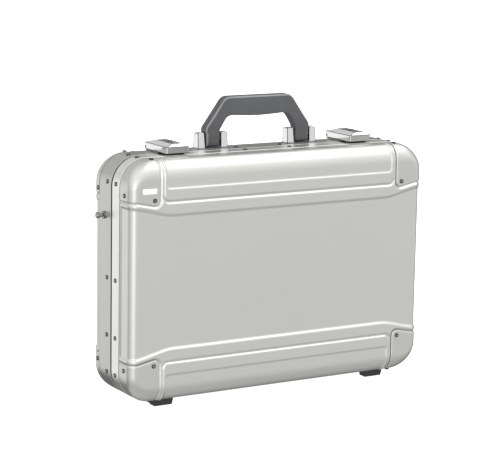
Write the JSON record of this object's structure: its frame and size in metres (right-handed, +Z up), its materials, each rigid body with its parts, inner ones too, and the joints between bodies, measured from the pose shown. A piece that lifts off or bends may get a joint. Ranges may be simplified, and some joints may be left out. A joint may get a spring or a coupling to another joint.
{
  "type": "attache case",
  "caption": "Hard aluminium attache case with riveted corner caps, pressed ribs, lever latches, a folding handle, a hinged lid and lid stays.",
  "frame": {"origin": "on the floor, under the middle of the case as it stands on its feet", "axes": "+X across the case, towards the picture's right; -Y out of the lid's face; +Z up, towards the handle"},
  "size_m": [0.474, 0.1094, 0.395],
  "materials": {
    "aluminium_shell": "brushed, clear anodised",
    "aluminium_frame": "satin extruded",
    "rivet_steel": "polished domed heads",
    "chrome": "polished",
    "grey_plastic": "fine moulded texture",
    "black_rubber": "matt",
    "lining": "woven nylon lining",
    "nickel": "warm nickel plate",
    "steel": "satin",
    "black_steel": "blackened",
    "badge_metal": "bright, blank"
  },
  "bodies": {
    "base": {"base_shell": "aluminium_shell", "base_frame": "aluminium_frame", "base_cap_top_left": "aluminium_shell", "base_cap_top_right": "aluminium_shell", "base_cap_bottom_left": "aluminium_shell", "base_cap_bottom_right": "aluminium_shell", "base_frame_rivets": "rivet_steel", "base_cap_rivets": "rivet_steel", "base_liner": "lining", "seam_gasket": "black_rubber", "handle_pins": "steel", "latch_pins": "steel", "fixing_screws": "steel", "hinge_leaf_base_left": "steel", "hinge_pin_left": "steel", "stay_track_left": "steel", "handle_bracket_left": "chrome", "latch_base_left": "chrome", "foot_base_left": "black_rubber", "strap_stud_left": "nickel", "hinge_leaf_base_right": "steel", "hinge_pin_right": "steel", "stay_track_right": "steel", "handle_bracket_right": "chrome", "latch_base_right": "chrome", "foot_base_right": "black_rubber", "strap_stud_right": "nickel"},
    "lid": {"lid_shell": "aluminium_shell", "lid_frame": "aluminium_frame", "lid_cap_top_left": "aluminium_shell", "lid_cap_top_right": "aluminium_shell", "lid_cap_bottom_left": "aluminium_shell", "lid_cap_bottom_right": "aluminium_shell", "lid_frame_rivets": "rivet_steel", "lid_cap_rivets": "rivet_steel", "lid_liner": "lining", "stay_studs": "steel", "badge_plate": "badge_metal", "hinge_leaf_lid_left": "steel", "latch_keeper_left": "black_steel", "foot_lid_left": "black_rubber", "hinge_leaf_lid_right": "steel", "latch_keeper_right": "black_steel", "foot_lid_right": "black_rubber"},
    "handle": {"handle_grip": "grey_plastic"},
    "stay_left": {"stay_arm_left": "steel"},
    "latch_left": {"latch_flap_left": "chrome"},
    "button_left": {"latch_button_left": "chrome"},
    "stay_right": {"stay_arm_right": "steel"},
    "latch_right": {"latch_flap_right": "chrome"},
    "button_right": {"latch_button_right": "chrome"}
  },
  "joints": [
    {"name": "lid_hinge", "type": "hinge", "parent": "base", "child": "lid", "pos_m": [0, 0, 0.0058], "axis": [1, 0, 0], "range_deg": [0, 95]},
    {"name": "handle_fold", "type": "hinge", "parent": "base", "child": "handle", "pos_m": [0, 0.02, 0.34], "axis": [1, 0, 0], "range_deg": [-90, 90]},
    {"name": "latch_left_flip", "type": "hinge", "parent": "base", "child": "latch_left", "pos_m": [-0.141, 0.0356, 0.3322], "axis": [-1, 0, 0], "range_deg": [0, 75]},
    {"name": "button_left_press", "type": "slide", "parent": "latch_left", "child": "button_left", "axis": [0, 0, -1], "range_m": [0, 0.0012], "stiffness_N_per_m": 400, "springref_m": -0.001},
    {"name": "latch_right_flip", "type": "hinge", "parent": "base", "child": "latch_right", "pos_m": [0.141, 0.0356, 0.3322], "axis": [-1, 0, 0], "range_deg": [0, 75]},
    {"name": "button_right_press", "type": "slide", "parent": "latch_right", "child": "button_right", "axis": [0, 0, -1], "range_m": [0, 0.0012], "stiffness_N_per_m": 400, "springref_m": -0.001},
    {"name": "stay_left_swing", "type": "hinge", "parent": "lid", "child": "stay_left", "pos_m": [-0.21035, -0.012, 0.0558], "axis": [1, 0, 0], "range_deg": [-122, 0]},
    {"name": "stay_right_swing", "type": "hinge", "parent": "lid", "child": "stay_right", "pos_m": [0.21035, -0.012, 0.0558], "axis": [1, 0, 0], "range_deg": [-122, 0]}
  ],
  "couplings": [
    {"joint": "stay_left_swing", "follows": "lid_hinge", "ratio": -1.282},
    {"joint": "stay_right_swing", "follows": "lid_hinge", "ratio": -1.282}
  ]
}
